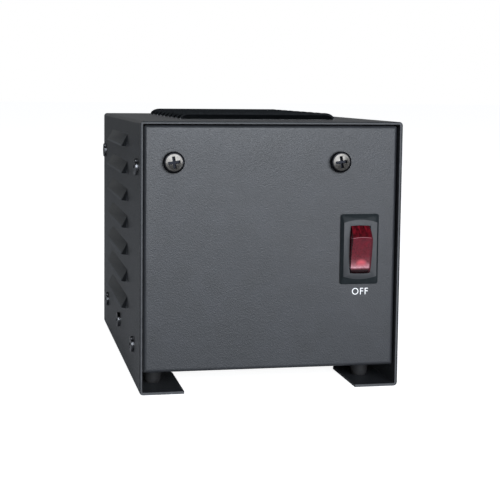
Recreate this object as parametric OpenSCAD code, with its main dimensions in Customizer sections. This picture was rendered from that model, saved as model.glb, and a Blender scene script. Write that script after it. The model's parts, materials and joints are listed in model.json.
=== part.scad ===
// Small isolation transformer in a louvred sheet-steel case.
// Lengths are millimetres. X runs right, Y runs back and Z runs up, and the front panel faces -Y.
// The origin is on the floor, under the middle of everything from the rocker to the reset button.

/* [Cover] */
// Width over the two side walls, without the louvres
body_w = 121.6; // [104:0.2:150]
// Depth of the cover from front edge to rear edge
body_d = 171.4; // [150:0.2:220]
// Thickness of the case sheet
sheet_t = 1.2; // [1:0.1:1.5]
// Outer radius of the bends of the cover
bend_r = 1.7; // [1.5:0.1:3]
// Width of a foot tab, from the outside of the wall inwards
tab_w = 20.5; // [16:0.5:22]
// Length of a foot tab along the depth
tab_l = 31; // [26:0.5:36]
// Corner radius of a foot tab
tab_corner_r = 2; // [1:0.5:5]

/* [Louvres] */
// Length of a louvre along its lip, at the wall
louvre_l = 76; // [60:0.5:80]
// Distance from lip to lip
louvre_pitch = 13.2; // [12:0.1:16]
// Distance from a lip to the line where its hood leaves the sheet
louvre_run = 5.6; // [4.8:0.1:7]
// Height of a lip above the sheet
louvre_rise = 3.3; // [2.6:0.1:4]
// Thickness that the drawn sheet keeps at a louvre's hood
louvre_hood_t = 0.8; // [0.7:0.1:1.1]
// Length of the curve in which the lip comes down to the sheet at each end
louvre_lip_curve = 5.2; // [3.5:0.1:7]
// How far the hood's back line stops short of the louvre's end
louvre_end_inset = 2.5; // [1:0.1:5]
// Drop from the top of the case to the highest side lip
side_louvre_drop = 13.4; // [11:0.1:18]
// Height above the floor that the side louvres keep clear
side_louvre_floor = 29; // [26:0.5:36]
// Distance from the front edge to the first lip on the top
top_louvre_start = 33.4; // [28:0.2:40]
// Depth at the rear of the top that the louvres keep clear
top_louvre_rear = 32; // [28:0.5:50]

/* [Chassis] */
// How far the front and rear panels stand inside the cover's edges
panel_recess = 1.6; // [1:0.1:3]
// Gap between the cover and the panels inside it
cover_fit = 0.5; // [0.2:0.05:0.8]
// Height of the chassis floor above the ground
tray_lift = 9.6; // [8:0.1:12]
// Outer radius of the bends of the chassis and the rear panel
panel_bend_r = 2; // [1.7:0.1:3]
// Depth of the flanges turned in from the front and rear panels
flange_deep = 18; // [16:0.5:22]
// Height of the flanges turned up from the chassis floor
floor_flange_h = 17; // [15:0.5:20]
// Width of the flange that the rear panel stands on
rear_foot_w = 80; // [60:1:84]
// Largest radius of a bumper under the chassis floor
bumper_top_r = 4.3; // [3.6:0.1:5]
// Smallest radius of a bumper, on the foot tab
bumper_low_r = 2.8; // [2:0.1:3.4]
// Distance from the left side of the case to the axes of the left bumpers
bumper_left = 8.5; // [8:0.1:12]
// Distance from the right side of the case to the axes of the right bumpers
bumper_right = 12.5; // [8:0.1:15]
// Distance from the front or rear edge to a bumper's axis
bumper_end = 19.5; // [18:0.5:24]

/* [Fasteners] */
// Head radius of the screws in the sides
side_head_r = 3.8; // [3.2:0.1:4.4]
// Head height of the screws in the sides
side_head_h = 1.6; // [1.3:0.1:3]
// Thread radius of the screws in the sides
side_thread_r = 2; // [1.6:0.1:2.2]
// Length of the screws in the sides, under the head
side_screw_l = 4.6; // [3.8:0.1:6]
// Drop from the top of the case to the upper side screws
side_high_drop = 21; // [16:0.1:30]
// Height of the lower side screws
side_low_z = 18.3; // [16.5:0.1:20]
// Distance from the case's front or rear edge to the upper side screws
side_high_end = 11; // [9:0.5:14]
// Distance from the case's front or rear edge to the outer lower side screws
side_low_end = 25; // [20:0.5:30]
// Head radius of the two screws in the front panel
front_head_r = 4.9; // [4:0.05:5.2]
// Head height of the two screws in the front panel
front_head_h = 3.1; // [2.4:0.1:3.6]
// Thread radius of the two screws in the front panel
front_thread_r = 2.4; // [2:0.1:2.6]
// Distance from the left side of the case to the left screw in the front panel
front_screw_left = 15.1; // [12:0.1:24]
// Distance from the right side of the case to the right screw in the front panel
front_screw_right = 29.3; // [12:0.1:36]
// Drop from the top of the case to the two screws in the front panel
front_screw_drop = 18.4; // [16:0.2:20]
// Radius of the bolts through the core
core_bolt_r = 2.5; // [2:0.1:2.8]
// Distance across the flats of the core bolts' heads and nuts
core_hex_w = 8; // [7:0.5:9]
// Height of the core bolts' heads and nuts
core_hex_h = 3.6; // [3:0.1:4.5]

/* [Rocker switch] */
// Distance from the right side of the case to the middle of the switch
switch_right = 19.4; // [16:0.1:30]
// Height of the middle of the switch
switch_z = 64.8; // [58:0.2:70]
// Width of the switch's frame
bezel_w = 18.2; // [17.4:0.2:20]
// Height of the switch's frame
bezel_h = 32.6; // [31:0.2:35]
// Thickness of the switch's frame
bezel_t = 2.2; // [1.8:0.1:2.8]
// Width of the flat face inside the frame's bevel
bezel_face_w = 15.8; // [15:0.1:16.6]
// Height of the flat face at its middle
bezel_face_h = 27.6; // [26.4:0.2:29]
// How far the flat face's ends bow out at their middle
bezel_face_bow = 1.3; // [0.6:0.1:2]
// Width of the rocker at its middle
rocker_w = 9.8; // [9:0.1:11.2]
// Radius of the rocker's ends about its pivot
rocker_r = 13.6; // [13:0.1:14]
// Distance from the pivot to the rocker's face
rocker_face = 11; // [10.6:0.1:11.6]
// How much smaller the rocker's radius is at its sides
rocker_bow = 0.3; // [0.1:0.05:0.5]
// How far the rocker's sides bow out at their middle
rocker_side_bow = 0.7; // [0.2:0.05:1]
// Distance from the pivot to the frame's flat face
pivot_depth = 8.3; // [8:0.1:9]
// Angle from level to the off position
rocker_tilt = 12; // [9:0.5:13]
// Width of the switch body behind the panel
switch_body_w = 13.6; // [13.2:0.1:14.4]
// Height of the switch body behind the panel
switch_body_h = 29.2; // [28.8:0.1:30.4]
// Depth of the switch body behind the panel's front
switch_body_d = 21; // [19:0.5:26]

/* [Transformer] */
// Space between the core and the left wall of the chassis
core_left_room = 4.4; // [4:0.1:12]
// Space between the core and the right wall of the chassis
core_right_room = 14.8; // [4:0.1:20]
// Space between the core and the top of the rear panel
core_head_room = 31.1; // [26:0.1:40]
// Distance from the case's front edge to the core
core_front_room = 56.5; // [53:0.5:64]
// Distance from the core to the case's rear edge
core_rear_room = 59.9; // [58:0.1:70]
// Thickness of the core's brackets
bracket_t = 2; // [1.5:0.1:2.4]
// Length of a bracket's foot along the chassis floor
bracket_foot = 14; // [12:0.5:15]
// Thickness of the bobbin's walls
bobbin_t = 1.5; // [1:0.1:2]
// Share of the coil's copper that the primary winding takes
primary_share = 0.545; // [0.4:0.005:0.6]
// Thickness of the electrostatic shield
shield_t = 0.5; // [0.3:0.1:0.8]
// Thickness of the paper round the coil
wrap_t = 0.8; // [0.5:0.1:1]
// Space between the paper and the edge of the bobbin
coil_room = 0.9; // [0.4:0.1:2]

/* [Rear sockets] */
// Distance from the right side of the case to the middle of the sockets
outlet_right = 39.8; // [26:0.1:44]
// Radius of the round ends of a socket's face
outlet_face_r = 17.2; // [16.4:0.1:17.6]
// Height of a socket's face across its flats
outlet_face_h = 28.4; // [27:0.2:29.4]
// Distance from socket to socket
outlet_pitch = 38.2; // [38:0.1:40]
// How far a socket's face stands out of the panel
outlet_proud = 1.4; // [1:0.1:2]
// Distance from the moulding's ends to the strap's two screws
outlet_screw_room = 8.4; // [6:0.1:12]
// Thickness of the strap
strap_t = 1.2; // [1:0.1:1.6]
// Width of the strap on each side of a socket's face
strap_side = 2.8; // [2:0.1:4]
// Distance from the strap's two screws to its ends
strap_end = 5.3; // [4.4:0.1:9]
// Space between the strap's ends and the flanges of the rear panel, which sets the case's height
strap_room = 7.35; // [2:0.05:20]
// Depth of the moulding behind the strap
outlet_base_t = 5; // [4:0.5:6]
// Depth of the body behind the moulding
outlet_body_d = 17; // [15:0.5:20]
// Distance between the two blade slots of a socket
blade_gap = 12.7; // [12.5:0.1:12.9]
// Width of a blade slot
blade_slot_w = 2.2; // [2:0.1:2.4]
// Height of the shorter blade slot
short_slot_h = 7; // [6.6:0.1:7.4]
// Height of the longer blade slot
long_slot_h = 8.8; // [8.4:0.1:9.2]
// Radius of the earth hole
earth_r = 2.6; // [2.5:0.05:2.8]
// Height of the blade slots above the socket's middle
blade_up = 4.2; // [3.8:0.1:4.6]
// Depth of the earth hole below the blade slots
earth_drop = 11.9; // [11.7:0.1:12.1]

/* [Breaker and cord entry] */
// Distance from the left side of the case to the breaker and the cord entry
service_left = 27.8; // [22:0.1:30]
// Drop from the top of the case to the breaker
breaker_drop = 37; // [30:0.1:44]
// Height of the cord entry
gland_z = 40.6; // [34:0.1:46]
// Width of the breaker's body
breaker_w = 14; // [12:0.5:16]
// Height of the breaker's body
breaker_h = 32; // [28:0.5:36]
// Depth of the breaker's body behind the panel
breaker_d = 19; // [16:0.5:24]
// Radius of the breaker's threaded neck
neck_r = 4.75; // [4.4:0.05:5.4]
// How far the neck stands out of the panel
neck_l = 5.4; // [4.6:0.1:6.4]
// Radius of the reset button
button_r = 3; // [2.6:0.1:3.4]
// How far the button stands out of the neck when it is in
button_out = 2.4; // [2:0.1:3.4]
// How far the button pops out when the breaker trips
button_travel = 3.6; // [3:0.1:4.4]
// Radius of the hole for the cord
gland_bore_r = 4.2; // [3.6:0.1:4.6]
// Radius of the gland's threaded barrel
gland_barrel_r = 7.2; // [6.6:0.1:8]
// Radius of the gland's flange
gland_flange_r = 10; // [9:0.5:12]
// How far the gland stands out of the panel
gland_proud = 7; // [6:0.5:9]
// Distance across the flats of the gland's locknut
gland_nut_w = 19; // [18:0.5:22]

/* [Filter board] */
// Width of the filter board
board_w = 72; // [70:1:80]
// Depth of the filter board
board_d = 27; // [24:0.5:28]
// Thickness of the filter board
board_t = 1.6; // [1:0.1:2]
// Height of the board's standoffs
standoff_h = 6; // [5:0.5:8]
// Distance from the case's front edge to the board
board_from_front = 8; // [7:0.5:9]
// Space between the board and the left wall of the chassis
board_left = 11.9; // [4:0.1:16]
// Radius of a surge absorber's disc
varistor_r = 7; // [5:0.5:8]
// Thickness of a surge absorber's disc
varistor_t = 4.6; // [3.6:0.2:5.4]
// Width of the filter capacitor
cap_w = 17; // [14:0.5:17.5]
// Depth of the filter capacitor
cap_d = 10; // [8:0.5:12]
// Height of the filter capacitor
cap_h = 17; // [14:0.5:20]

/* [Hidden] */
$fn = 48;

// How far a cut runs past the surface that it opens
over = 0.5;
// How far a hood is rooted in the sheet
root = 0.6;
// Flat left beside the cover's lower bends, between the foot tabs
tab_relief = 0.5;
// Widening of a louvre's slot below its lip
slot_relief = 0.2;
// Radial gap of a screw in a hole that it passes through
hole_fit = 0.25;
// Radial gap of a screw in its thread
thread_fit = 0.05;
// Gap between the layers of the coil
layer_gap = 0.1;
// Gap between the coil and the core's window
window_fit = 0.6;
// Gap between fixed pieces that are dropped in place
seat_fit = 0.3;
// Radial gap of the rocker's pins and of the reset button
slide_fit = 0.08;
// Gap round the rocker
rocker_gap = 0.35;

// Places along the depth
front_reach = rocker_r * sin(acos(rocker_face / rocker_r)) * sin(rocker_tilt)
    + rocker_face * cos(rocker_tilt) - pivot_depth + bezel_t - panel_recess;
rear_reach = neck_l + button_out - panel_recess;
front_y = (front_reach - rear_reach - body_d) / 2;
rear_y = front_y + body_d;
mid_y = (front_y + rear_y) / 2;
panel_y = front_y + panel_recess;
back_y = rear_y - panel_recess;
panel_in_y = panel_y + sheet_t;
back_in_y = back_y - sheet_t;

// Inside of the case
outlet_base_h = outlet_pitch + outlet_face_h;
outlet_screw_gap = outlet_base_h + 2 * outlet_screw_room;
strap_l = outlet_screw_gap + 2 * strap_end;
floor_z = tray_lift + sheet_t;
outlet_z = floor_z + sheet_t + strap_room + strap_l / 2;
tray_top = outlet_z + strap_l / 2 + strap_room + sheet_t;
body_h = tray_top + cover_fit + sheet_t;
tray_half_w = body_w / 2 - sheet_t - cover_fit;
tray_in_half_w = tray_half_w - sheet_t;

// Louvres
hood_angle = atan(louvre_rise / louvre_run);
slot_rise = louvre_rise - louvre_hood_t / cos(hood_angle);
slot_share = slot_rise / louvre_rise;
slot_l = louvre_l - 2 * louvre_hood_t;
louvre_facets = 6;
bumper_facets = 6;
side_lip_z = body_h - side_louvre_drop;
side_louvres = 1 + floor((side_lip_z - side_louvre_floor) / louvre_pitch);
top_louvres = 1 + floor((body_d - top_louvre_start - top_louvre_rear) / louvre_pitch);

// Case screws
side_low_places = [front_y + side_low_end, mid_y, rear_y - side_low_end];
side_high_places = [front_y + side_high_end, rear_y - side_high_end];
recess_w = 1.3;
recess_share = 0.56;
recess_depth_share = 0.6;
recess_turn = 8;
head_dome_share = 0.06;
head_edge_share = 0.4;
rear_screw_in = 10;
rear_screw_x = rear_foot_w / 2 - rear_screw_in;
rear_screw_from_back = 9;
rear_screw_l = 6;
side_high_z = body_h - side_high_drop;
front_screw_z = body_h - front_screw_drop;
front_screw_places = [front_screw_left - body_w / 2, body_w / 2 - front_screw_right];
small_head_r = 3.2;
small_head_h = 2;
small_thread_r = 1.7;

// Core
lam_w = 2 * tray_in_half_w - core_left_room - core_right_room;
lam_h = tray_top - floor_z - core_head_room;
// Share of a lamination's width that an outer leg or a yoke takes; the middle leg takes two
leg_share = 1 / 6;
leg_w = lam_w * leg_share;
stack_d = body_d - core_front_room - core_rear_room;
core_x = (core_left_room - core_right_room) / 2;
core_front_y = front_y + core_front_room;
core_rear_y = core_front_y + stack_d;
core_y = (core_front_y + core_rear_y) / 2;
window_w = (lam_w - 4 * leg_w) / 2;
window_h = lam_h - 2 * leg_w;
window_z = floor_z + leg_w;
core_top = floor_z + lam_h;
core_hole_x = lam_w / 2 - leg_w / 2;
core_low_bolt_z = floor_z + leg_w / 2;
core_high_bolt_z = core_top - leg_w / 2;
core_bolt_tail = 1.5;
clamp_w = leg_w - 2 * seat_fit;
foot_screw_x = lam_w / 2 - leg_w;
foot_screw_head_r = 4;
foot_screw_head_h = 2.6;
foot_screw_r = 2;
foot_screw_l = 9;
foot_nut_w = 7;
foot_nut_h = 3;

// Bracket that ties the core to the front panel
tie_margin = 7;
tie_low_x = min(front_screw_places[0], core_x - core_hole_x) - tie_margin;
tie_high_x = max(front_screw_places[1], core_x + core_hole_x) + tie_margin;
tie_flange_h = 15;
tie_shelf_z = front_screw_z - tie_flange_h / 2;
tie_nut_w = 9;
tie_nut_h = 4;

// Coil
bobbin_z = window_z + seat_fit;
bobbin_h = window_h - 2 * seat_fit;
former_g = window_fit / 2 + bobbin_t;
flange_g = window_w - window_fit;
copper_t = flange_g - coil_room - wrap_t - shield_t - 4 * layer_gap - former_g;
primary_g = former_g + layer_gap + copper_t * primary_share;
shield_g = primary_g + layer_gap + shield_t;
secondary_g = shield_g + layer_gap + copper_t * (1 - primary_share);
wrap_g = secondary_g + layer_gap + wrap_t;

// Switch
switch_x = body_w / 2 - switch_right;
pivot_y = panel_y - bezel_t + pivot_depth;
switch_hole_fit = 0.2;
bezel_edge_t = 0.7;
bezel_corner_r = 1;
rocker_back = 2;
rocker_wall = 1.3;
well_depth = 5.8;
pin_r = 1.3;
pin_l = 0.9;
lamp_r = 2;
lamp_reach = 4;
blade_w = 4.8;
blade_t = 0.8;
blade_l = 8;
switch_blade_pitch = 8;

// Rear sockets
outlet_corner_r = 2;
outlet_fit = 0.3;
outlet_base_side = 0.8;
outlet_base_w = 2 * (outlet_face_r + outlet_base_side);
strap_w = 2 * (outlet_face_r + strap_side);
outlet_x = body_w / 2 - outlet_right;
outlet_front = back_in_y - strap_t;
outlet_stand = strap_t + sheet_t + outlet_proud;
outlet_joint = outlet_front - outlet_base_t;
leaf_t = 0.8;
leaf_l = 10;
blade_pocket_d = 12;
outlet_screw_r = 1.7;
outlet_head_r = 3.2;
outlet_head_h = 1.8;
outlet_screw_l = 6;

// Breaker and gland
service_x = service_left - body_w / 2;
breaker_z = body_h - breaker_drop;
breaker_corner_r = 1.5;
breaker_nut_w = 14;
breaker_nut_h = 2.2;
button_stem = 9;
button_edge = 0.5;
gland_flange_t = 2.4;
gland_dome_r = 7.6;
gland_dome_taper = 1.2;
gland_barrel_l = 9;
gland_nut_h = 4.5;

// Ground stud
ground_from_side = 14.8;
ground_x = ground_from_side - body_w / 2;
ground_from_back = 30;
ground_lug_t = 0.9;
ground_lug_w = 8;
ground_lug_l = 13;

// Filter board
board_x = board_left + board_w / 2 - tray_in_half_w;
board_y = front_y + board_from_front + board_d / 2;
board_z = floor_z + standoff_h;
board_top = board_z + board_t;
standoff_r = 3;
standoff_in = 4;
board_screw_r = 1.2;
board_head_r = 2.4;
board_head_h = 1.6;
lead_r = 0.5;
lead_up = 2;
lead_pitch = 7.5;
cap_corner_r = 1;
block_w = 22;
block_d = 11;
block_h = 12;
block_ways = 4;
block_wall = 1.2;
block_well_d = 5;
block_mouth_w = 3.8;
block_mouth_h = 4.5;
block_mouth_d = 6;
part_gap = 3;
part_row_w = block_w + cap_w + 2 * varistor_t + 3 * part_gap;
block_x = board_x + (block_w - part_row_w) / 2;
cap_x = block_x + (block_w + cap_w) / 2 + part_gap;
varistor_x = cap_x + (cap_w + varistor_t) / 2 + part_gap;
varistor_places = [varistor_x, varistor_x + varistor_t + part_gap];

// Colours
paint = "#3a3b3e";
steel = "#a8abae";
dark_steel = "#55585c";
copper = "#b8693a";
brass = "#c2a14e";
black_plastic = "#2b2c2e";
red_lens = "#a5202c";

// A rectangle with round corners
module rounded_rect(w, h, r) {
    square([w - 2 * r, h], center = true);
    square([w, h - 2 * r], center = true);
    for (sx = [-1, 1], sy = [-1, 1])
        translate([sx * (w / 2 - r), sy * (h / 2 - r)]) circle(r);
}

// Outlines drawn in Y and Z, in X and Z or in X and Y, made solid along the third axis
module along_x(w) rotate([90, 0, 90]) linear_extrude(w, center = true) children();
module along_y(d) rotate([90, 0, 0]) linear_extrude(d, center = true) children();
module along_z(h) linear_extrude(h, center = true) children();

// A block whose twelve edges are bends of one radius
module bent_block(half_w, y0, y1, z0, z1, r)
    translate([0, (y0 + y1) / 2, (z0 + z1) / 2]) intersection() {
        along_z(z1 - z0) rounded_rect(2 * half_w, y1 - y0, r);
        along_x(2 * half_w) rounded_rect(y1 - y0, z1 - z0, r);
        along_y(y1 - y0) rounded_rect(2 * half_w, z1 - z0, r);
    }

// A box between two corners
module span(low, high) translate(low) cube(high - low);

// Turns a piece that is drawn along +Z so that it points to the front, the back or a side
module to_front() rotate([90, 0, 0]) children();
module to_back() rotate([-90, 0, 0]) children();
module to_side(side) rotate([0, side * 90, 0]) children();

// A hexagonal prism with a round bore
module hex_nut(flats, h, bore_r) difference() {
    cylinder(r = flats / sqrt(3), h = h, $fn = 6);
    translate([0, 0, -over]) cylinder(r = bore_r, h = h + 2 * over);
}

// A pan-head screw with a cross recess, its head along +Z from the seat at zero
module pan_screw(head_r, head_h, thread_r, l) {
    dome_h = head_r * head_dome_share;
    dome_r = (head_r * head_r + dome_h * dome_h) / (2 * dome_h);
    difference() {
        union() {
            rotate_extrude() intersection() {
                square([head_r, head_h]);
                rounded_rect(2 * head_r, 2 * head_h, head_h * head_edge_share);
                translate([0, head_h - dome_r]) circle(dome_r, $fn = 240);
            }
            translate([0, 0, -l]) cylinder(r = thread_r, h = l);
        }
        for (turn = [0, 90])
            rotate(recess_turn + turn)
                translate([-head_r * recess_share, -recess_w / 2, head_h * (1 - recess_depth_share)])
                    cube([2 * head_r * recess_share, recess_w, head_h]);
    }
}

// One pressed louvre: its lip along X, its hood rising towards -Y and facing +Z.
// The lip comes down to the sheet in a quarter of an ellipse, which the hood's end follows to a point.
module louvre_form(l, end_inset, lip_curve, run, rise, below, front_gap) {
    n = louvre_facets;
    back_x = l / 2 - end_inset;
    curve = [for (i = [0 : n]) [l / 2 - lip_curve * (1 - cos(90 * i / n)), rise * sin(90 * i / n)]];
    right = [for (i = [0 : n]) 4 + i];
    left = [for (i = [0 : n]) 5 + n + i];
    back = [6 + 2 * n, 7 + 2 * n];
    polyhedron(
        points = concat(
            [[-l / 2, -front_gap, -below], [l / 2, -front_gap, -below],
             [back_x, run, -below], [-back_x, run, -below]],
            [for (p = curve) [p.x, -front_gap, p.y]],
            [for (p = curve) [-p.x, -front_gap, p.y]],
            [[back_x, run, 0], [-back_x, run, 0]]
        ),
        faces = concat(
            [[0, 1, 2, 3], concat([0], left, [for (i = [n : -1 : 0]) right[i]], [1]),
             [1, right[0], back[0], 2], [2, back[0], back[1], 3], [3, back[1], left[0], 0],
             [back[1], back[0], right[n], left[n]]],
            [for (i = [0 : n - 1]) [right[i], right[i + 1], back[0]]],
            [for (i = [0 : n - 1]) [left[i + 1], left[i], back[1]]]
        )
    );
}

// Puts a louvre at each place on the two sides and the top
module at_louvres() {
    for (side = [-1, 1], i = [0 : side_louvres - 1])
        translate([side * body_w / 2, mid_y, side_lip_z - i * louvre_pitch])
            rotate([90, 0, side * 90]) children();
    for (i = [0 : top_louvres - 1])
        translate([0, front_y + top_louvre_start + i * louvre_pitch, body_h]) children();
}

// Puts a piece that points along +Z at each side screw, pointing outwards
module at_side_screws(x) {
    for (side = [-1, 1]) {
        for (y = side_low_places) translate([side * x, y, side_low_z]) to_side(side) children();
        for (y = side_high_places) translate([side * x, y, side_high_z]) to_side(side) children();
    }
}

module at_front_screws(y)
    for (x = front_screw_places) translate([x, y, front_screw_z]) to_front() children();

module at_bumpers(z)
    for (x = [bumper_left - body_w / 2, body_w / 2 - bumper_right],
         y = [front_y + bumper_end, rear_y - bumper_end])
        translate([x, y, z]) children();

module at_rear_screws(z)
    for (side = [-1, 1])
        translate([side * rear_screw_x, back_y - rear_screw_from_back, z]) children();

module at_core_feet(z)
    for (side = [-1, 1], y = [core_front_y - bracket_t - bracket_foot / 2,
                              core_rear_y + bracket_t + bracket_foot / 2])
        translate([core_x + side * foot_screw_x, y, z]) children();

module at_core_bolts(y, heights)
    for (side = [-1, 1], z = heights)
        translate([core_x + side * core_hole_x, y, z]) children();

module at_board_corners(z)
    for (sx = [-1, 1], sy = [-1, 1])
        translate([board_x + sx * (board_w / 2 - standoff_in),
                   board_y + sy * (board_d / 2 - standoff_in), z]) children();

// Seen from above, the four tabs at the case's corners
module tab_outlines() for (sx = [-1, 1], sy = [-1, 1])
    translate([sx * body_w / 2, mid_y + sy * body_d / 2])
        rounded_rect(2 * tab_w, 2 * tab_l, tab_corner_r);

// The folded sheet: top, sides and the foot tabs turned in at the floor
module cover_sheet() difference() {
    translate([0, mid_y, body_h / 2]) along_y(body_d) difference() {
        rounded_rect(body_w, body_h, bend_r);
        rounded_rect(body_w - 2 * sheet_t, body_h - 2 * sheet_t, bend_r - sheet_t);
    }
    translate([0, 0, -over]) linear_extrude(sheet_t + 2 * over) difference() {
        translate([0, mid_y])
            square([body_w - 2 * (bend_r + tab_relief), body_d + 2 * over], center = true);
        tab_outlines();
    }
}

module wrap_cover() color(paint) difference() {
    union() {
        cover_sheet();
        at_louvres() louvre_form(louvre_l, louvre_end_inset, louvre_lip_curve,
                                 louvre_run, louvre_rise, root, 0);
    }
    at_louvres() louvre_form(slot_l, louvre_end_inset * slot_share, louvre_lip_curve - louvre_hood_t,
                             louvre_run * slot_share, slot_rise, sheet_t + over, slot_relief);
    at_side_screws(body_w / 2) translate([0, 0, -sheet_t - over])
        cylinder(r = side_thread_r + hole_fit, h = sheet_t + 2 * over);
}

// Front panel, floor and their flanges, folded from one sheet
module chassis_tray() color(paint) difference() {
    intersection() {
        bent_block(tray_half_w, panel_y, rear_y + flange_deep, tray_lift, tray_top, panel_bend_r);
        span([-body_w, panel_y - over, 0], [body_w, back_y, body_h]);
    }
    bent_block(tray_in_half_w, panel_in_y, rear_y + 2 * flange_deep, floor_z,
               tray_top - sheet_t, panel_bend_r - sheet_t);
    span([-body_w, panel_y + flange_deep, tray_lift + floor_flange_h], [body_w, rear_y, body_h]);
    at_side_screws(tray_half_w) translate([0, 0, -sheet_t - over])
        cylinder(r = side_thread_r + thread_fit, h = sheet_t + 2 * over);
    at_front_screws(panel_in_y + over)
        cylinder(r = front_thread_r + hole_fit, h = sheet_t + 2 * over);
    translate([switch_x, panel_y + sheet_t / 2, switch_z]) along_y(sheet_t + 2 * over)
        square([switch_body_w + 2 * switch_hole_fit, switch_body_h + 2 * switch_hole_fit], center = true);
    at_bumpers(tray_lift - over) cylinder(r = bumper_low_r / 2 + hole_fit, h = sheet_t + 2 * over);
    at_core_feet(tray_lift - over) cylinder(r = foot_screw_r + hole_fit, h = sheet_t + 2 * over);
    at_rear_screws(tray_lift - over) cylinder(r = small_thread_r + hole_fit, h = sheet_t + 2 * over);
    translate([ground_x, back_y - ground_from_back, tray_lift - over])
        cylinder(r = small_thread_r + hole_fit, h = sheet_t + 2 * over);
}

// Outline of one socket face
module outlet_outline(gap) intersection() {
    circle(outlet_face_r + gap);
    square([2 * (outlet_face_r + gap), outlet_face_h + 2 * gap], center = true);
}

module at_outlets() for (side = [-1, 1]) translate([0, side * outlet_pitch / 2]) children();

// Rear panel with its flanges, standing on the chassis floor
module rear_panel() color(paint) difference() {
    intersection() {
        bent_block(tray_half_w, front_y, back_y, floor_z, tray_top, panel_bend_r);
        span([-body_w, back_y - flange_deep, 0], [body_w, rear_y, body_h]);
    }
    bent_block(tray_in_half_w, front_y - over, back_in_y, floor_z + sheet_t,
               tray_top - sheet_t, panel_bend_r - sheet_t);
    for (side = [-1, 1]) {
        translate([side * tray_half_w, back_y, tray_lift])
            cube([2 * (panel_bend_r + seat_fit), 2 * (flange_deep + over),
                  2 * (floor_flange_h + seat_fit)], center = true);
        translate([side * (tray_half_w + rear_foot_w / 2) / 2, back_y - panel_bend_r - flange_deep / 2,
                   floor_z])
            cube([tray_half_w - rear_foot_w / 2, flange_deep, 2 * (sheet_t + over)], center = true);
    }
    at_side_screws(tray_half_w) translate([0, 0, -sheet_t - over])
        cylinder(r = side_thread_r + thread_fit, h = sheet_t + 2 * over);
    translate([outlet_x, back_y - sheet_t / 2, outlet_z]) along_y(sheet_t + 2 * over) {
        at_outlets() outlet_outline(outlet_fit);
        circle(outlet_screw_r + hole_fit);
        for (side = [-1, 1]) translate([0, side * outlet_screw_gap / 2]) circle(outlet_screw_r + hole_fit);
    }
    translate([service_x, back_in_y - over, breaker_z]) to_back()
        cylinder(r = neck_r + hole_fit, h = sheet_t + 2 * over);
    translate([service_x, back_in_y - over, gland_z]) to_back()
        cylinder(r = gland_barrel_r + hole_fit, h = sheet_t + 2 * over);
    at_rear_screws(floor_z - over) cylinder(r = small_thread_r + thread_fit, h = sheet_t + 2 * over);
}

// Half the section of a bumper: a flat foot and a flank that rounds up to the chassis
module bumper_half(h) {
    n = bumper_facets;
    polygon(concat([[0, h], [0, 0]], [for (i = [0 : n])
        [bumper_low_r + (bumper_top_r - bumper_low_r) * sin(90 * i / n), h * (1 - cos(90 * i / n))]]));
}

// Domed bumpers between the chassis floor and the foot tabs
module tray_bumpers() color(black_plastic) at_bumpers(sheet_t) {
    rotate_extrude() bumper_half(tray_lift - sheet_t);
    cylinder(r = bumper_low_r / 2, h = floor_z);
    translate([0, 0, tray_lift]) cylinder(r1 = bumper_low_r, r2 = bumper_low_r / 2, h = bumper_low_r / 2);
}

module side_screws() color(dark_steel) at_side_screws(body_w / 2)
    pan_screw(side_head_r, side_head_h, side_thread_r, side_screw_l);

module front_screws() color(dark_steel) at_front_screws(panel_y)
    pan_screw(front_head_r, front_head_h, front_thread_r, sheet_t + bracket_t + tie_nut_h + over);

module rear_panel_screws() color(dark_steel) at_rear_screws(tray_lift) mirror([0, 0, 1])
    pan_screw(small_head_r, small_head_h, small_thread_r, rear_screw_l);

// Holes through the core along the depth
module core_bolt_holes(heights) at_core_bolts(core_y, heights) to_front()
    cylinder(r = core_bolt_r + hole_fit, h = stack_d + 2 * over, center = true);

// Back yoke and three legs, with the legs pointing up
module core_e_stack() color(steel) difference() {
    translate([core_x, core_y, floor_z + (lam_h - leg_w) / 2])
        cube([lam_w, stack_d, lam_h - leg_w], center = true);
    for (side = [-1, 1])
        translate([core_x + side * (leg_w + window_w / 2), core_y, window_z + lam_h / 2])
            cube([window_w, stack_d + 2 * over, lam_h], center = true);
    core_bolt_holes([core_low_bolt_z]);
}

// Yoke that closes the legs
module core_i_stack() color(steel) difference() {
    translate([core_x, core_y, core_top - leg_w / 2]) cube([lam_w, stack_d, leg_w], center = true);
    core_bolt_holes([core_high_bolt_z]);
}

module core_bolts() color(dark_steel)
    at_core_bolts(core_front_y - bracket_t, [core_low_bolt_z, core_high_bolt_z]) {
        to_front() cylinder(r = core_hex_w / sqrt(3), h = core_hex_h, $fn = 6);
        to_back() cylinder(r = core_bolt_r, h = stack_d + 2 * bracket_t + core_hex_h + core_bolt_tail);
    }

module core_nuts() color(dark_steel)
    at_core_bolts(core_rear_y + bracket_t, [core_low_bolt_z, core_high_bolt_z]) to_back()
        hex_nut(core_hex_w, core_hex_h, core_bolt_r + thread_fit);

// An angle along one face of the core, with its foot on the chassis floor
module core_foot(face_y, out) difference() {
    union() {
        translate([core_x, face_y + out * bracket_t / 2, floor_z + clamp_w / 2])
            cube([lam_w, bracket_t, clamp_w], center = true);
        translate([core_x, face_y + out * (bracket_t + bracket_foot) / 2, floor_z + bracket_t / 2])
            cube([lam_w, bracket_t + bracket_foot, bracket_t], center = true);
    }
    at_core_bolts(face_y, [core_low_bolt_z]) to_front()
        cylinder(r = core_bolt_r + hole_fit, h = 2 * (bracket_t + over), center = true);
    at_core_feet(floor_z - over) cylinder(r = foot_screw_r + hole_fit, h = bracket_t + 2 * over);
}

module core_foot_front() color(dark_steel) core_foot(core_front_y, -1);
module core_foot_rear() color(dark_steel) core_foot(core_rear_y, 1);

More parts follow.
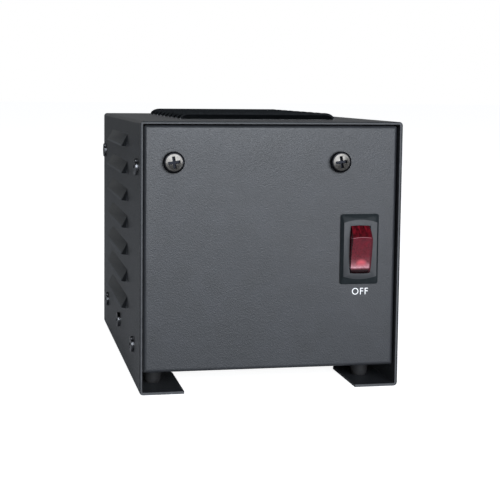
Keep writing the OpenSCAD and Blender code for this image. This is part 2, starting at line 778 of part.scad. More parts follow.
// Bar behind the upper bolts
module core_clamp_bar() color(dark_steel) difference() {
    translate([core_x, core_rear_y + bracket_t / 2, core_high_bolt_z])
        cube([lam_w, bracket_t, clamp_w], center = true);
    at_core_bolts(core_rear_y, [core_high_bolt_z]) to_front()
        cylinder(r = core_bolt_r + hole_fit, h = 2 * (bracket_t + over), center = true);
}

module core_foot_screws() color(dark_steel) at_core_feet(tray_lift) mirror([0, 0, 1])
    pan_screw(foot_screw_head_r, foot_screw_head_h, foot_screw_r, foot_screw_l);

module core_foot_nuts() color(dark_steel) at_core_feet(floor_z + bracket_t)
    hex_nut(foot_nut_w, foot_nut_h, foot_screw_r + thread_fit);

// Folded shelf from the upper bolts to the two screws in the front panel
module tie_bracket() color(dark_steel) difference() {
    union() {
        span([tie_low_x, core_front_y - bracket_t, core_top - leg_w + seat_fit],
             [tie_high_x, core_front_y, tie_shelf_z + bracket_t]);
        span([tie_low_x, panel_in_y, tie_shelf_z],
             [tie_high_x, core_front_y, tie_shelf_z + bracket_t]);
        span([tie_low_x, panel_in_y, tie_shelf_z],
             [tie_high_x, panel_in_y + bracket_t, tie_shelf_z + tie_flange_h]);
    }
    at_core_bolts(core_front_y, [core_high_bolt_z]) to_front()
        cylinder(r = core_bolt_r + hole_fit, h = 2 * (bracket_t + over), center = true);
    at_front_screws(panel_in_y + bracket_t + over)
        cylinder(r = front_thread_r + hole_fit, h = bracket_t + 2 * over);
}

module tie_nuts() color(steel) at_front_screws(panel_in_y + bracket_t + tie_nut_h)
    hex_nut(tie_nut_w, tie_nut_h, front_thread_r + thread_fit);

// A layer of the coil, between two distances from the middle leg
module coil_layer(inner_g, outer_g, z, h) translate([core_x, core_y, z + h / 2]) along_z(h) difference() {
    rounded_rect(2 * (leg_w + outer_g), stack_d + 2 * outer_g, outer_g);
    rounded_rect(2 * (leg_w + inner_g), stack_d + 2 * inner_g, inner_g);
}

module wound_layer(inner_g, outer_g)
    coil_layer(inner_g + layer_gap, outer_g, bobbin_z + bobbin_t + layer_gap,
               bobbin_h - 2 * (bobbin_t + layer_gap));

module bobbin() color("#2f6f4f") {
    coil_layer(window_fit / 2, former_g, bobbin_z, bobbin_h);
    for (z = [bobbin_z, bobbin_z + bobbin_h - bobbin_t]) coil_layer(window_fit / 2, flange_g, z, bobbin_t);
}

module primary_winding() color(copper) wound_layer(former_g, primary_g);
module shield_foil() color(copper) wound_layer(primary_g, shield_g);
module secondary_winding() color(copper) wound_layer(shield_g, secondary_g);
module coil_wrap() color("#d8b64a") wound_layer(secondary_g, wrap_g);

// Half of the rocker's outline about its pivot: width along X, radius along Y
module rocker_outline(half_w, r) {
    bow_r = (half_w * half_w + rocker_bow * rocker_bow) / (2 * rocker_bow);
    intersection() {
        translate([-half_w, 0]) square([2 * half_w, r]);
        translate([0, r - bow_r]) circle(bow_r, $fn = 240);
    }
}

// The barrel that the rocker is cut from, turned about the pivot's X axis
module rocker_barrel(half_w, r)
    rotate([0, 90, 0]) rotate_extrude($fn = 96) rotate(-90) rocker_outline(half_w, r);

// Prism along the depth, with the rocker's bowed sides
module rocker_sides(half_w) {
    bow_r = (rocker_r * rocker_r + rocker_side_bow * rocker_side_bow) / (2 * rocker_side_bow);
    along_y(4 * rocker_r) intersection() {
        translate([half_w - bow_r, 0]) circle(bow_r, $fn = 480);
        translate([bow_r - half_w, 0]) circle(bow_r, $fn = 480);
    }
}

// Flat face of the switch's frame, with bowed ends
module bezel_face() {
    half_w = bezel_face_w / 2;
    bow_r = (half_w * half_w + bezel_face_bow * bezel_face_bow) / (2 * bezel_face_bow);
    intersection() {
        square([bezel_face_w, bezel_face_h], center = true);
        translate([0, bezel_face_h / 2 - bow_r]) circle(bow_r, $fn = 96);
        translate([0, bow_r - bezel_face_h / 2]) circle(bow_r, $fn = 96);
    }
}

// Frame and body, moulded in one, with the well that the rocker turns in
module switch_housing() color(black_plastic) difference() {
    translate([switch_x, panel_y, switch_z]) {
        hull() {
            translate([0, -bezel_edge_t / 2, 0]) along_y(bezel_edge_t)
                rounded_rect(bezel_w, bezel_h, bezel_corner_r);
            translate([0, bezel_edge_t / 2 - bezel_t, 0]) along_y(bezel_edge_t) bezel_face();
        }
        span([-switch_body_w / 2, -bezel_edge_t, -switch_body_h / 2],
             [switch_body_w / 2, switch_body_d, switch_body_h / 2]);
    }
    translate([switch_x, pivot_y, switch_z]) {
        intersection() {
            rocker_barrel(rocker_w / 2 + rocker_gap, rocker_r + rocker_gap);
            rocker_sides(rocker_w / 2 + rocker_gap);
            span([-rocker_w, -2 * rocker_r, -2 * rocker_r], [rocker_w, well_depth, 2 * rocker_r]);
        }
        rotate([0, 90, 0])
            cylinder(r = pin_r + slide_fit, h = switch_body_w + 2 * over, center = true);
    }
}

// Hollow see-through rocker, resting in the off position with its upper end out
module switch_rocker() color(red_lens)
    translate([switch_x, pivot_y, switch_z]) rotate([rocker_tilt, 0, 0]) {
        difference() {
            intersection() {
                rocker_barrel(rocker_w / 2, rocker_r);
                rocker_sides(rocker_w / 2);
                span([-rocker_w, -rocker_face, -2 * rocker_r], [rocker_w, rocker_back, 2 * rocker_r]);
            }
            intersection() {
                rocker_barrel(rocker_w / 2 - rocker_wall, rocker_r - rocker_wall);
                rocker_sides(rocker_w / 2 - rocker_wall);
                span([-rocker_w, rocker_wall - rocker_face, -2 * rocker_r],
                     [rocker_w, 2 * rocker_back, 2 * rocker_r]);
            }
        }
        for (side = [-1, 1]) translate([side * (rocker_w - rocker_wall) / 2, 0, 0]) to_side(side)
            cylinder(r = pin_r, h = pin_l + rocker_wall / 2);
    }

// Neon lamp on the floor of the well
module switch_lamp() color("#f2d9b8") translate([switch_x, pivot_y + well_depth, switch_z]) to_front() {
    cylinder(r = lamp_r, h = well_depth + lamp_reach - lamp_r);
    translate([0, 0, well_depth + lamp_reach - lamp_r]) sphere(lamp_r);
}

// A flat blade terminal along Y, from its root at zero towards -Y
module blade_terminal(out) translate([0, out * blade_l / 2, 0])
    cube([blade_w, blade_l, blade_t], center = true);

module switch_terminals() color(brass)
    for (i = [-1 : 1])
        translate([switch_x, panel_y + switch_body_d, switch_z + i * switch_blade_pitch])
            blade_terminal(1);

// Breaker body and threaded neck, with the bore that the button slides in
module breaker_body() color(black_plastic) difference() {
    union() {
        translate([service_x, back_in_y - breaker_d / 2, breaker_z]) along_y(breaker_d)
            rounded_rect(breaker_w, breaker_h, breaker_corner_r);
        translate([service_x, back_in_y - over, breaker_z]) to_back()
            cylinder(r = neck_r, h = sheet_t + neck_l + over);
    }
    translate([service_x, back_y + neck_l + over, breaker_z]) to_front()
        cylinder(r = button_r + slide_fit, h = button_stem + seat_fit + over);
}

module breaker_nut() color(steel) translate([service_x, back_y, breaker_z]) to_back()
    hex_nut(breaker_nut_w, breaker_nut_h, neck_r + thread_fit);

module breaker_terminals() color(brass)
    for (side = [-1, 1])
        translate([service_x, back_in_y - breaker_d, breaker_z + side * breaker_h / 4])
            blade_terminal(-1);

// Push button that pops out when the breaker trips
module reset_button() color("#d9d9d6")
    translate([service_x, back_y + neck_l - button_stem, breaker_z]) to_back() {
        cylinder(r = button_r, h = button_stem + button_out - button_edge);
        translate([0, 0, button_stem + button_out - button_edge])
            cylinder(r1 = button_r, r2 = button_r - button_edge, h = button_edge);
    }

// Slots of one socket: the live and neutral blades and the U-shaped earth hole
module blade_slots(extra_w) {
    translate([-blade_gap / 2, blade_up])
        square([blade_slot_w + extra_w, short_slot_h], center = true);
    translate([blade_gap / 2, blade_up])
        square([blade_slot_w + extra_w, long_slot_h], center = true);
}

module earth_slot(r) translate([0, blade_up - earth_drop]) {
    circle(r);
    translate([-r, 0]) square([2 * r, r]);
}

// Moulding with the two socket faces, which stand out through the strap and the panel
module outlet_faces() color(black_plastic) translate([outlet_x, 0, outlet_z]) difference() {
    union() {
        translate([0, outlet_front - outlet_base_t / 2, 0]) along_y(outlet_base_t)
            rounded_rect(outlet_base_w, outlet_base_h, outlet_corner_r);
        translate([0, outlet_front + outlet_stand / 2, 0]) along_y(outlet_stand)
            at_outlets() outlet_outline(0);
    }
    translate([0, outlet_front, 0]) along_y(2 * (outlet_stand + outlet_base_t)) at_outlets() {
        blade_slots(0);
        earth_slot(earth_r);
    }
    translate([0, outlet_front, 0]) along_y(2 * (outlet_base_t + over))
        circle(outlet_screw_r + thread_fit);
}

// Steel strap between the moulding and the panel
module outlet_strap() color(steel)
    translate([outlet_x, back_in_y - strap_t / 2, outlet_z]) along_y(strap_t) difference() {
        rounded_rect(strap_w, strap_l, outlet_corner_r);
        at_outlets() outlet_outline(outlet_fit);
        circle(outlet_screw_r + hole_fit);
        for (side = [-1, 1])
            translate([0, side * outlet_screw_gap / 2]) circle(outlet_screw_r + thread_fit);
    }

// Closed body behind the moulding, with a pocket behind each slot
module outlet_body() color(black_plastic) translate([outlet_x, outlet_joint, outlet_z]) difference() {
    translate([0, -outlet_body_d / 2, 0]) along_y(outlet_body_d)
        rounded_rect(outlet_base_w, outlet_base_h, outlet_corner_r);
    translate([0, (over - blade_pocket_d) / 2, 0]) along_y(blade_pocket_d + over) at_outlets() {
        blade_slots(2 * (leaf_t + layer_gap));
        translate([0, blade_up - earth_drop]) circle(earth_r + leaf_t + layer_gap);
    }
}

// Spring leaves on both sides of each blade, and a sleeve round each earth pin
module outlet_contacts() color(brass)
    translate([outlet_x, outlet_joint - leaf_l / 2, outlet_z]) along_y(leaf_l) at_outlets() {
        for (x = [-blade_gap / 2, blade_gap / 2], side = [-1, 1])
            translate([x + side * (blade_slot_w + leaf_t) / 2, blade_up])
                square([leaf_t, short_slot_h - 2 * layer_gap], center = true);
        translate([0, blade_up - earth_drop]) difference() {
            circle(earth_r + leaf_t);
            circle(earth_r);
        }
    }

module outlet_screws() color(dark_steel)
    for (z = [-outlet_screw_gap / 2, 0, outlet_screw_gap / 2])
        translate([outlet_x, back_y, outlet_z + z]) to_back()
            pan_screw(outlet_head_r, outlet_head_h, outlet_screw_r, outlet_screw_l);

// Gland for the mains cord: flange and dome outside, threaded barrel inside
module cord_gland() color(black_plastic)
    translate([service_x, back_y, gland_z]) to_back() difference() {
        union() {
            cylinder(r = gland_flange_r, h = gland_flange_t);
            cylinder(r1 = gland_dome_r, r2 = gland_dome_r - gland_dome_taper, h = gland_proud);
            translate([0, 0, -gland_barrel_l]) cylinder(r = gland_barrel_r, h = gland_barrel_l + over);
        }
        translate([0, 0, -gland_barrel_l - over])
            cylinder(r = gland_bore_r, h = gland_barrel_l + gland_proud + 2 * over);
    }

module gland_nut() color(black_plastic) translate([service_x, back_in_y, gland_z]) to_front()
    hex_nut(gland_nut_w, gland_nut_h, gland_barrel_r + thread_fit);

module at_ground(z) translate([ground_x, back_y - ground_from_back, z]) children();

module ground_screw() color(steel) at_ground(tray_lift) mirror([0, 0, 1])
    pan_screw(small_head_r, small_head_h, small_thread_r,
              sheet_t + ground_lug_t + foot_nut_h + over);

// Ring terminal clamped to the chassis floor
module ground_lug() color(brass) at_ground(floor_z) linear_extrude(ground_lug_t) difference() {
    union() {
        circle(ground_lug_w / 2);
        translate([0, -ground_lug_w / 4]) square([ground_lug_l, ground_lug_w / 2]);
    }
    circle(small_thread_r + hole_fit);
}

module ground_nut() color(steel) at_ground(floor_z + ground_lug_t)
    hex_nut(foot_nut_w, foot_nut_h, small_thread_r + thread_fit);

module filter_board() color("#2c6b45") difference() {
    translate([board_x, board_y, board_z + board_t / 2]) cube([board_w, board_d, board_t], center = true);
    at_board_corners(board_z - over) cylinder(r = board_screw_r + hole_fit, h = board_t + 2 * over);
}

module board_standoffs() color("#e6e6e0") at_board_corners(floor_z) difference() {
    cylinder(r = standoff_r, h = standoff_h);
    translate([0, 0, sheet_t]) cylinder(r = board_screw_r + thread_fit, h = standoff_h);
}

module board_screws() color(steel) at_board_corners(board_top)
    pan_screw(board_head_r, board_head_h, board_screw_r, board_t + standoff_h / 2);

// Disc-shaped surge absorbers on their leads
module surge_absorbers() color("#2f5fa8")
    for (x = varistor_places) translate([x, board_y, board_top]) {
        translate([0, 0, lead_up + varistor_r]) rotate([0, 90, 0])
            cylinder(r = varistor_r, h = varistor_t, center = true);
        for (side = [-1, 1]) translate([0, side * lead_pitch / 2, 0])
            cylinder(r = lead_r, h = lead_up + varistor_r);
    }

module filter_capacitor() color("#d6b24a")
    translate([cap_x, board_y, board_top]) linear_extrude(cap_h)
        rounded_rect(cap_w, cap_d, cap_corner_r);

// Row of wire clamps, with a screw well above each wire mouth
module terminal_block() color("#4a6a4f")
    translate([block_x, board_y, board_top]) difference() {
        translate([-block_w / 2, -block_d / 2, 0]) cube([block_w, block_d, block_h]);
        for (i = [0 : block_ways - 1])
            translate([(i + 1 / 2) * block_w / block_ways - block_w / 2, 0, 0]) {
                translate([0, 0, block_h - block_well_d])
                    cylinder(r = block_mouth_w / 2, h = block_well_d + over);
                translate([-block_mouth_w / 2, -block_d / 2 - over, block_wall])
                    cube([block_mouth_w, block_mouth_d + over, block_mouth_h]);
            }
    }

wrap_cover();
chassis_tray();
rear_panel();
tray_bumpers();
side_screws();
front_screws();
rear_panel_screws();
core_e_stack();
core_i_stack();
core_bolts();
core_nuts();
core_foot_front();
core_foot_rear();
core_clamp_bar();
core_foot_screws();
core_foot_nuts();
tie_bracket();
tie_nuts();
bobbin();
primary_winding();
shield_foil();
secondary_winding();
coil_wrap();
switch_housing();
switch_rocker();
switch_lamp();
switch_terminals();
breaker_body();
breaker_nut();
breaker_terminals();
reset_button();
outlet_faces();
outlet_strap();
outlet_body();
outlet_contacts();
outlet_screws();
cord_gland();
gland_nut();
ground_screw();
ground_lug();
ground_nut();
filter_board();
board_standoffs();
board_screws();
surge_absorbers();
filter_capacitor();
terminal_block();
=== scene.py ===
"""The looks of a small isolation transformer in a louvred sheet-steel case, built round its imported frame.

Lengths are metres. X runs right, Y runs back and Z runs up, and the front panel faces -Y.
"""

import json
import math

import bmesh
import bpy
from mathutils import Matrix, Vector

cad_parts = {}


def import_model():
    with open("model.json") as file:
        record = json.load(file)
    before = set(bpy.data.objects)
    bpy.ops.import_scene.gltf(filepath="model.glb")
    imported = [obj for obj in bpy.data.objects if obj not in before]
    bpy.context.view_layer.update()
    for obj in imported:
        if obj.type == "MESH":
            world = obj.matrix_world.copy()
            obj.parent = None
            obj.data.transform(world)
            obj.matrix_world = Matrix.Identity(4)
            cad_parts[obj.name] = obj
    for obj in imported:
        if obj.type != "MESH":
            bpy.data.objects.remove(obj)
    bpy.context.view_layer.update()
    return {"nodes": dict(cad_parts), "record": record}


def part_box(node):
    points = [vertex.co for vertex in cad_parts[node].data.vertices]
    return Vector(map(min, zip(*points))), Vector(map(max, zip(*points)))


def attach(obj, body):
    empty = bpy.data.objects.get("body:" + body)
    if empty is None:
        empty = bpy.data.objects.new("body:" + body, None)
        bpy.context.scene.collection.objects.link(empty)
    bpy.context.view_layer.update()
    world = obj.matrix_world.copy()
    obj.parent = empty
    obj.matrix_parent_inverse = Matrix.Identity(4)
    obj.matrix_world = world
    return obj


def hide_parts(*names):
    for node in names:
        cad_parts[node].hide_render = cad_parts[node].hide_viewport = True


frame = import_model()
NODES = frame["nodes"]
SLOTS = {row["node"]: row["material_slot"] for row in frame["record"]["subparts"]}
BODY_OF = {name: body for body, names in frame["record"]["behaviour"]["bodies"].items() for name in names}
MM = 0.001

# The camera, worked out from the corners of the case: its place, its turns, and the width, the focal length
# and the optical middle of its picture in pixels
CAMERA_PLACE = Vector((-124.6, -603.0, 137.4)) * MM
CAMERA_YAW, CAMERA_PITCH, CAMERA_ROLL = math.radians(10.672), math.radians(-5.191), math.radians(0.506)
FRAME_PX = 500
FOCAL_PX = 1175.3
CENTRE_PX = (214.3, 197.0)
# The width of a full-frame sensor in mm, and how the picture is developed
SENSOR = 36
VIEW_TRANSFORM = "Standard"


def colour(code):
    """An sRGB hex code as the linear colour that a shader takes, by the standard's formula."""
    parts = [int(code[i : i + 2], 16) / 255 for i in (1, 3, 5)]
    return [c / 12.92 if c <= 0.04045 else ((c + 0.055) / 1.055) ** 2.4 for c in parts] + [1.0]


def socket(sockets, name=None):
    """The first socket in use, or the one in use with this name."""
    return next(s for s in sockets if s.enabled and name in (None, s.name, s.identifier))


def add(tree, kind, inputs=None, **settings):
    """Adds a node, makes its settings, and gives each named input a value or the output that feeds it."""
    made = tree.nodes.new(kind)
    for name, value in settings.items():
        setattr(made, name, value)
    for name, value in (inputs or {}).items():
        target = socket(made.inputs, name)
        if isinstance(value, bpy.types.Node):
            value = socket(value.outputs)
        if isinstance(value, bpy.types.NodeSocket):
            tree.links.new(value, target)
        else:
            target.default_value = value
    return made


def per_mm(size):
    """The scale at which one cell of a pattern is so many millimetres wide."""
    return 1 / (size * MM)


# Most of a noise's values lie within these
NOISE_LOW, NOISE_HIGH = 0.3, 0.7


class Finish:
    """A material under construction: its node tree and the place on the object."""

    def __init__(self, name):
        self.material = bpy.data.materials.new(name)
        self.material.use_nodes = True
        self.tree = self.material.node_tree
        self.tree.nodes.clear()
        self.place = add(self.tree, "ShaderNodeTexCoord").outputs["Object"]

    def add(self, kind, inputs=None, **settings):
        """Adds a node to this finish."""
        return add(self.tree, kind, inputs, **settings)

    def calc(self, operation, *values, **settings):
        """The outcome of a sum on up to three values."""
        inputs = dict(zip(("Value", "Value_001", "Value_002"), values))
        return self.add("ShaderNodeMath", inputs, operation=operation, **settings)

    def run(self, value, start, end, first=0.0, last=1.0, **settings):
        """A value that goes from start to end, made into one that goes from first to last and no further."""
        inputs = {"Value": value, "From Min": start, "From Max": end, "To Min": first, "To Max": last}
        return self.add("ShaderNodeMapRange", inputs, **settings)

    def along(self, axis):
        """How far along X, Y or Z a point of the surface lies."""
        return self.add("ShaderNodeSeparateXYZ", {"Vector": self.place}).outputs[axis]

    def noise(self, size_mm, detail=2, stretch=(1, 1, 1)):
        """Cloudy values from 0 to 1 with blobs of about this size."""
        place = self.add("ShaderNodeMapping", {"Vector": self.place, "Scale": stretch})
        inputs = {"Vector": place, "Scale": per_mm(size_mm), "Detail": detail}
        return self.add("ShaderNodeTexNoise", inputs).outputs["Fac"]

    def bands(self, axis, size_mm):
        """Values that rise and fall along an axis, each wave about twice this size long."""
        inputs = {"Vector": self.place, "Scale": per_mm(size_mm) / (2 * math.pi), "Distortion": 0.0}
        return self.add("ShaderNodeTexWave", inputs, bands_direction=axis).outputs["Fac"]

    def between(self, noise, low, high):
        """A noise stretched to run from low to high."""
        return self.run(noise, NOISE_LOW, NOISE_HIGH, low, high)

    def uneven(self, size_mm, low, high, detail=2):
        """A value that wanders from low to high in blobs of about this size."""
        return self.between(self.noise(size_mm, detail), low, high)

    def blend(self, value, first, last):
        """A colour that runs from one hex code to the other."""
        return self.over(value, colour(first), colour(last))

    def mottle(self, size_mm, first, last, detail=3):
        """A colour that wanders between two hex codes in blobs of about this size."""
        return self.blend(self.uneven(size_mm, 0, 1, detail), first, last)

    def ramp(self, value, stops):
        """A colour read off stops, each a share from 0 to 1 and a hex code."""
        made = self.add("ShaderNodeValToRGB", {"Fac": value})
        elements = made.color_ramp.elements
        while len(elements) < len(stops):
            elements.new(1.0)
        for element, (share, code) in zip(elements, stops):
            element.position, element.color = share, colour(code)
        return made

    def over(self, amount, under, upper):
        """The colour underneath, covered by the upper one by this amount."""
        inputs = {"Factor_Float": amount, "A_Color": under, "B_Color": upper}
        return self.add("ShaderNodeMix", inputs, data_type="RGBA")

    def length(self, vector):
        """How long a vector is."""
        return self.add("ShaderNodeVectorMath", {"Vector": vector}, operation="LENGTH").outputs["Value"]

    def away(self, centre, half, inner, outer=1.0):
        """1 within an oval of these half sizes round a place, falling to 0 from its inner share to its outer.
        A half size of 0 leaves that direction out."""
        scale = [1 / h if h else 0 for h in half]
        location = [-c * k for c, k in zip(centre, scale)]
        place = self.add("ShaderNodeMapping", {"Vector": self.place, "Location": location, "Scale": scale})
        return self.run(self.length(place), inner, outer, 1.0, 0.0, interpolation_type="SMOOTHSTEP")

    def bump(self, height, depth_mm, under=None):
        """The surface raised by this depth where the height is 1, on top of the bumps underneath."""
        inputs = {"Height": height, "Distance": depth_mm * MM, "Strength": 1.0}
        if under:
            inputs["Normal"] = under
        return self.add("ShaderNodeBump", inputs)

    def grain(self, size_mm, depth_mm, detail=2, under=None):
        """A surface with bumps of about this size and depth."""
        return self.bump(self.noise(size_mm, detail), depth_mm, under)

    def done(self, **inputs):
        """Ends the tree in one shader; an input's name is written with underscores for spaces."""
        shader = self.add("ShaderNodeBsdfPrincipled", {k.replace("_", " "): v for k, v in inputs.items()})
        self.add("ShaderNodeOutputMaterial", {"Surface": shader})
        return self.material


# Where the powder coat is painted lighter, and its tone there: painted light on the hoods of the side louvres
# and a painted highlight on their crests, each measured inwards from the crest, and a painted sheen on the
# flat of the top, a band round a height above the chassis
HOOD_PAINTED_LIGHT, CREST_PAINTED_HIGHLIGHT = (3.0 * MM, "#343639"), (0.5 * MM, "#4d5157")
ROOF_ABOVE, ROOF_HALF, ROOF_PAINTED_SHEEN = 1.2 * MM, 0.75 * MM, "#5a5959"
# The share of each within which its tone is full, and a half size in metres that reaches well past the case
FADE_SHARE, PAST_CASE = 0.8, 1


def powder_coat():
    # Polyester powder, sprayed dry and baked on steel: a fine orange peel and a soft, wide gloss, with
    # painted light making it lighter on the flat of the top and on the side louvres
    f = Finish("grey_powder_coat")
    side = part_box("wrap_cover")[1][0]
    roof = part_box("chassis_tray")[1][2] + ROOF_ABOVE
    shade = f.mottle(9, "#292b2e", "#2e3034")
    across = f.calc("ABSOLUTE", f.along("X"))
    # Painted light on the side louvres' hoods and a lighter painted highlight on their crests
    for depth, tone in (HOOD_PAINTED_LIGHT, CREST_PAINTED_HIGHLIGHT):
        shade = f.over(f.run(across, side - depth, side - FADE_SHARE * depth), shade, colour(tone))
    # A painted sheen: a lighter band along the flat of the top
    level = f.away((0, 0, roof), (PAST_CASE, PAST_CASE, ROOF_HALF), FADE_SHARE)
    return f.done(
        Base_Color=f.over(level, shade, colour(ROOF_PAINTED_SHEEN)),
        Roughness=f.uneven(0.7, 0.4, 0.5),
        Normal=f.grain(0.5, 0.11, under=f.grain(1.1, 0.02, detail=1)),
    )


# How far outside the chassis the cover's front and back edges turn from their painted highlight to dark
EDGE_LIGHT, EDGE_DARK = 1.0 * MM, 1.3 * MM


def edge_painted_highlight():
    # The cover's front and back edges: a painted highlight, light along the inner corner, and dark along the
    # outer one
    f = Finish("powder_coat_edge_painted_highlight")
    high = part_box("chassis_tray")[1]
    past_side = f.calc("SUBTRACT", f.calc("ABSOLUTE", f.along("X")), high[0])
    past_top = f.calc("SUBTRACT", f.along("Z"), high[2])
    outer = f.run(f.calc("MAXIMUM", past_side, past_top), EDGE_LIGHT, EDGE_DARK)
    return f.done(
        Base_Color=f.over(outer, f.mottle(3, "#4d4e50", "#565759"), colour("#232527")),
        Roughness=f.uneven(0.7, 0.4, 0.5),
        Specular_IOR_Level=0.1,
        Normal=f.grain(0.5, 0.02),
    )


def louvre_painted_shade(name="louvre_lip_painted_shade", low="#101214", high="#171a1c"):
    # The louvres' lips and ends: painted shade, dull and dark, standing in for the shade in the louvres'
    # openings
    f = Finish(name)
    return f.done(
        Base_Color=f.mottle(2, low, high),
        Roughness=f.uneven(0.8, 0.6, 0.75),
        Specular_IOR_Level=0.08,
        Normal=f.grain(0.5, 0.02),
    )


def moulded_rubber():
    # Moulded rubber: dull black with a faint bloom
    f = Finish("black_moulded_rubber")
    return f.done(
        Base_Color=f.mottle(3, "#161617", "#232324"),
        Roughness=f.uneven(1.5, 0.6, 0.75),
        Normal=f.grain(0.3, 0.01),
    )


def black_nickel(name="black_nickel_plate", low="#454648", high="#56575a"):
    # Black nickel over steel: dark and mirror-like, with faint marks from the driver
    f = Finish(name)
    return f.done(
        Base_Color=f.mottle(1.5, low, high),
        Metallic=1.0,
        Roughness=f.uneven(0.6, 0.2, 0.34, detail=3),
        Normal=f.grain(0.8, 0.002, detail=3),
    )


# The crown of a front screw, in shares of its head's radius: where its bright finish ends and the painted
# shade of the rim begins, and where it seems domed; and how high the dome seems to stand, in mm
BRIGHT_SHARES, DOMED_SHARES, CROWN_RISE = (0.74, 0.82), (0.0, 0.9), 0.3


def crowns_with_shaded_rims():
    # The same plating on the front screws: domed over the crown, with painted shade darkening the rim
    f = Finish("black_nickel_crown_painted_rim_shade")
    low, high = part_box("front_screws")
    head_r, middle_z = (high[2] - low[2]) / 2, (high[2] + low[2]) / 2

    def heads(shares):
        places = ((x, 0, middle_z) for x in (low[0] + head_r, high[0] - head_r))
        return f.calc("MAXIMUM", *(f.away(place, (head_r, 0, head_r), *shares) for place in places))

    return f.done(
        Base_Color=f.over(heads(BRIGHT_SHARES), colour("#121214"), f.mottle(1.2, "#4a4845", "#595754")),
        Metallic=1.0,
        Roughness=f.uneven(0.6, 0.2, 0.32, detail=3),
        Normal=f.bump(heads(DOMED_SHARES), CROWN_RISE, f.grain(0.8, 0.004, detail=3)),
    )


def nickel_painted_shade():
    # The same plating painted nearly black as shade, in the screws' crosses and at the front screws' rims
    f = Finish("black_nickel_painted_shade")
    return f.done(
        Base_Color=f.mottle(1.5, "#16171a", "#1f2024"),
        Metallic=1.0,
        Roughness=f.uneven(0.6, 0.24, 0.36, detail=3),
        Normal=f.grain(0.8, 0.002, detail=3),
    )


def laminations():
    # Stacked steel sheets seen on edge: 0.5 mm in the real core, drawn about 2 mm thick so that they show
    f = Finish("varnished_steel_laminations")
    return f.done(
        Base_Color=f.mottle(5, "#6c6a67", "#8d8a85", detail=4),
        Metallic=0.7,
        Roughness=f.uneven(2, 0.38, 0.6, detail=3),
        Normal=f.bump(f.bands("Y", 1.0), 0.15),
    )


def zinc():
    # Bright zinc plate: pale metal with small spangled patches
    f = Finish("zinc_plated_steel")
    return f.done(
        Base_Color=f.mottle(1.6, "#a9a9a5", "#c4c3bd", detail=4),
        Metallic=1.0,
        Roughness=f.uneven(0.9, 0.24, 0.4, detail=3),
    )


def bracket_steel():
    # Zinc-plated strip: drawn through the mill, so its grain runs along the width
    f = Finish("zinc_plated_strip")
    lines = f.noise(0.5, 3, stretch=(0.06, 1, 1))
    return f.done(
        Base_Color=f.blend(f.between(lines, 0, 1), "#92918c", "#b3b2ac"),
        Metallic=1.0,
        Roughness=f.between(lines, 0.32, 0.46),
        Normal=f.bump(lines, 0.01),
    )


def bobbin_nylon():
    # Glass-filled nylon: matt, with the glass showing as a fine mottle
    f = Finish("green_glass_filled_nylon")
    return f.done(
        Base_Color=f.mottle(1.2, "#2b6b4a", "#357a57", detail=4),
        Roughness=f.uneven(0.8, 0.45, 0.6),
        Normal=f.grain(0.4, 0.008),
    )


def copper_wire():
    # Enamelled wire wound in level turns: about 2.4 mm from turn to turn up the coil, with painted shade
    # darkening the grooves between the turns
    f = Finish("enamelled_copper_wire")
    turns = f.bands("Z", 1.2)
    return f.done(
        Base_Color=f.blend(turns, "#6b2a12", "#c9733c"),
        Metallic=1.0,
        Roughness=0.28,
        Normal=f.bump(turns, 0.5),
        Coat_Weight=0.6,
        Coat_Roughness=0.12,
    )


def copper_foil():
    # Bare rolled copper, a little tarnished
    f = Finish("rolled_copper_foil")
    return f.done(
        Base_Color=f.mottle(6, "#b8683f", "#dd9468", detail=4),
        Metallic=1.0,
        Roughness=f.uneven(3, 0.22, 0.42, detail=3),
        Normal=f.grain(4, 0.05),
    )


def coil_paper():
    # Varnished insulating paper: amber, with its fibres and small creases
    f = Finish("varnished_coil_paper")
    return f.done(
        Base_Color=f.mottle(4, "#b98d36", "#d8b15a", detail=5),
        Roughness=f.uneven(2, 0.35, 0.55, detail=3),
        Normal=f.bump(f.noise(1.2, 4, stretch=(1, 1, 0.25)), 0.06),
        Coat_Weight=0.3,
        Coat_Roughness=0.3,
    )


def switch_nylon():
    # Moulded black nylon from a finely sparked tool: satin, with an even grain
    f = Finish("black_moulded_nylon")
    return f.done(
        Base_Color=f.mottle(4, "#26282b", "#2b2d30", detail=2),
        Roughness=f.uneven(0.8, 0.5, 0.58),
        Normal=f.grain(0.35, 0.01),
    )


def polished_nylon():
    # The same nylon where the tool was polished: the frame's slopes, smooth and dark
    f = Finish("black_polished_nylon")
    return f.done(
        Base_Color=f.mottle(4, "#212527", "#272b2d", detail=2),
        Roughness=f.uneven(1.5, 0.12, 0.18),
        Specular_IOR_Level=0.03,
        Normal=f.grain(2, 0.004, detail=1),
    )


# Half the height of the rocker that shows, half the width of its face, and how far left its lit part lies
ROCKER_SHOWS, ROCKER_FACE_HALF, FACE_LEFT = 10.9 * MM, 4.9 * MM, 0.5 * MM
# The lamp's painted glow on the rocker: how far below the switch's middle it is, and its half sizes
GLOW_DROP, GLOW_HALF = 6.7 * MM, (3.3 * MM, 0, 3.1 * MM)
# The ridge is a shallow arch with a painted highlight: the arch's radius, its height above the middle and
# half its line's width
ARCH_R, RIDGE_UP, RIDGE_HALF = 22 * MM, 6.1 * MM, 0.13 * MM
# The rocker's tone from its lower to its upper end, with painted shade at both ends and a pale painted
# reflection above its foot: a share of the height that shows, and the tone there
LENS_SHADE_AND_SHEEN = (
    (0.0, "#16060a"),
    (0.075, "#2a0c12"),
    (0.105, "#8d5f66"),
    (0.125, "#d0a0a7"),
    (0.16, "#b67f86"),
    (0.205, "#8f5f65"),
    (0.25, "#724248"),
    (0.33, "#622a32"),
    (0.42, "#571d26"),
    (0.77, "#551924"),
    (0.8, "#30080d"),
    (1.0, "#2a0508"),
)
